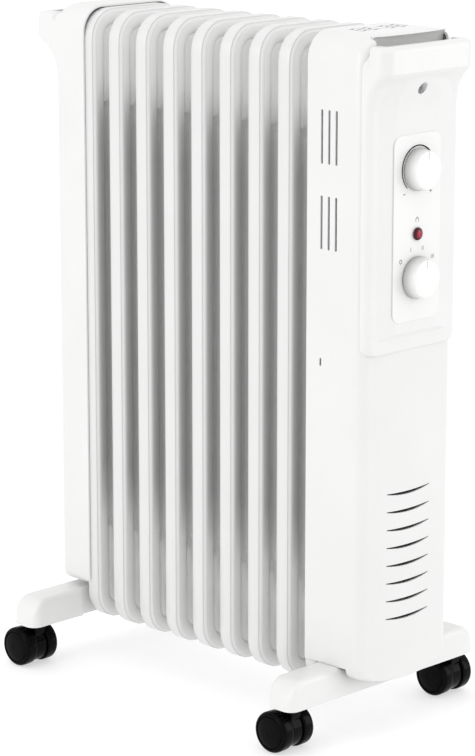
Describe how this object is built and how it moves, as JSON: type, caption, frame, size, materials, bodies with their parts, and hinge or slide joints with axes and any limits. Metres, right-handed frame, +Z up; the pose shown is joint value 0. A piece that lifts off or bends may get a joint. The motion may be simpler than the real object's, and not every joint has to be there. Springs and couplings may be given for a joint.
{
  "type": "oil filled radiator heater",
  "caption": "Upright oil filled radiator with pressed fins, control housing with two knobs and a lamp, handle lips at both ends, and feet on twin-wheel castors.",
  "frame": {"origin": "on the floor, under the middle of the overall size", "axes": "+X along the stack of fins towards the controls, +Y to the right of someone facing the controls, +Z up"},
  "size_m": [0.439, 0.2532, 0.6243],
  "materials": {
    "white_enamel": "gloss",
    "white_plastic": "satin",
    "black_plastic": "gloss",
    "red_lens": "gloss",
    "steel": "zinc plated",
    "brass": "satin",
    "cream_plastic": "matt",
    "wire_red": "matt"
  },
  "bodies": {
    "frame": {"fin_1": "white_enamel", "fin_2": "white_enamel", "fin_3": "white_enamel", "fin_4": "white_enamel", "fin_5": "white_enamel", "fin_6": "white_enamel", "fin_7": "white_enamel", "fin_8": "white_enamel", "fin_9": "white_enamel", "oil_filler_plug": "brass", "rear_header_cap": "steel", "front_header_cap": "steel", "heating_element": "steel", "element_flange": "brass", "terminal_block": "cream_plastic", "wiring": "wire_red", "thermal_cutout": "cream_plastic", "cord_gland": "white_plastic", "rear_cover": "white_plastic", "housing": "white_enamel", "front_panel": "white_plastic", "panel_screw": "steel", "control_plate": "white_plastic", "control_bracket": "steel", "thermostat": "cream_plastic", "dial_ring": "black_plastic", "rotary_switch": "cream_plastic", "lamp_lens": "red_lens", "lamp_body": "cream_plastic", "front_foot": "white_plastic", "front_foot_bracket": "steel", "front_wing_nut": "steel", "rear_foot": "white_plastic", "rear_foot_bracket": "steel", "rear_wing_nut": "steel"},
    "thermostat_control": {"thermostat_knob": "white_plastic", "thermostat_shaft": "steel"},
    "switch_control": {"switch_knob": "white_plastic", "switch_shaft": "steel"},
    "front_left_castor": {"front_left_castor_stem": "steel", "front_left_castor_body": "black_plastic", "front_left_castor_axle": "steel"},
    "front_left_castor_wheel_left": {"front_left_castor_wheel_left": "black_plastic"},
    "front_left_castor_wheel_right": {"front_left_castor_wheel_right": "black_plastic"},
    "front_right_castor": {"front_right_castor_stem": "steel", "front_right_castor_body": "black_plastic", "front_right_castor_axle": "steel"},
    "front_right_castor_wheel_left": {"front_right_castor_wheel_left": "black_plastic"},
    "front_right_castor_wheel_right": {"front_right_castor_wheel_right": "black_plastic"},
    "rear_left_castor": {"rear_left_castor_stem": "steel", "rear_left_castor_body": "black_plastic", "rear_left_castor_axle": "steel"},
    "rear_left_castor_wheel_left": {"rear_left_castor_wheel_left": "black_plastic"},
    "rear_left_castor_wheel_right": {"rear_left_castor_wheel_right": "black_plastic"},
    "rear_right_castor": {"rear_right_castor_stem": "steel", "rear_right_castor_body": "black_plastic", "rear_right_castor_axle": "steel"},
    "rear_right_castor_wheel_left": {"rear_right_castor_wheel_left": "black_plastic"},
    "rear_right_castor_wheel_right": {"rear_right_castor_wheel_right": "black_plastic"}
  },
  "joints": [
    {"name": "thermostat_turn", "type": "hinge", "parent": "frame", "child": "thermostat_control", "pos_m": [0.2125, 0, 0.5075], "axis": [1, 0, 0], "range_deg": [-135, 135]},
    {"name": "switch_turn", "type": "hinge", "parent": "frame", "child": "switch_control", "pos_m": [0.2125, 0, 0.4135], "axis": [1, 0, 0], "range_deg": [0, 120]},
    {"name": "front_left_castor_swivel", "type": "hinge", "parent": "frame", "child": "front_left_castor", "pos_m": [0.16045, -0.1065, 0.045], "axis": [0, 0, 1], "continuous": true},
    {"name": "front_left_castor_wheel_left_spin", "type": "hinge", "parent": "front_left_castor", "child": "front_left_castor_wheel_left", "pos_m": [0.15245, -0.11985, 0.01867], "axis": [0, 1, 0], "continuous": true},
    {"name": "front_left_castor_wheel_right_spin", "type": "hinge", "parent": "front_left_castor", "child": "front_left_castor_wheel_right", "pos_m": [0.15245, -0.09315, 0.01867], "axis": [0, 1, 0], "continuous": true},
    {"name": "front_right_castor_swivel", "type": "hinge", "parent": "frame", "child": "front_right_castor", "pos_m": [0.16045, 0.1065, 0.045], "axis": [0, 0, 1], "continuous": true},
    {"name": "front_right_castor_wheel_left_spin", "type": "hinge", "parent": "front_right_castor", "child": "front_right_castor_wheel_left", "pos_m": [0.15245, 0.09315, 0.01867], "axis": [0, 1, 0], "continuous": true},
    {"name": "front_right_castor_wheel_right_spin", "type": "hinge", "parent": "front_right_castor", "child": "front_right_castor_wheel_right", "pos_m": [0.15245, 0.11985, 0.01867], "axis": [0, 1, 0], "continuous": true},
    {"name": "rear_left_castor_swivel", "type": "hinge", "parent": "frame", "child": "rear_left_castor", "pos_m": [-0.17655, -0.1065, 0.045], "axis": [0, 0, 1], "continuous": true},
    {"name": "rear_left_castor_wheel_left_spin", "type": "hinge", "parent": "rear_left_castor", "child": "rear_left_castor_wheel_left", "pos_m": [-0.18455, -0.11985, 0.01867], "axis": [0, 1, 0], "continuous": true},
    {"name": "rear_left_castor_wheel_right_spin", "type": "hinge", "parent": "rear_left_castor", "child": "rear_left_castor_wheel_right", "pos_m": [-0.18455, -0.09315, 0.01867], "axis": [0, 1, 0], "continuous": true},
    {"name": "rear_right_castor_swivel", "type": "hinge", "parent": "frame", "child": "rear_right_castor", "pos_m": [-0.17655, 0.1065, 0.045], "axis": [0, 0, 1], "continuous": true},
    {"name": "rear_right_castor_wheel_left_spin", "type": "hinge", "parent": "rear_right_castor", "child": "rear_right_castor_wheel_left", "pos_m": [-0.18455, 0.09315, 0.01867], "axis": [0, 1, 0], "continuous": true},
    {"name": "rear_right_castor_wheel_right_spin", "type": "hinge", "parent": "rear_right_castor", "child": "rear_right_castor_wheel_right", "pos_m": [-0.18455, 0.11985, 0.01867], "axis": [0, 1, 0], "continuous": true}
  ]
}
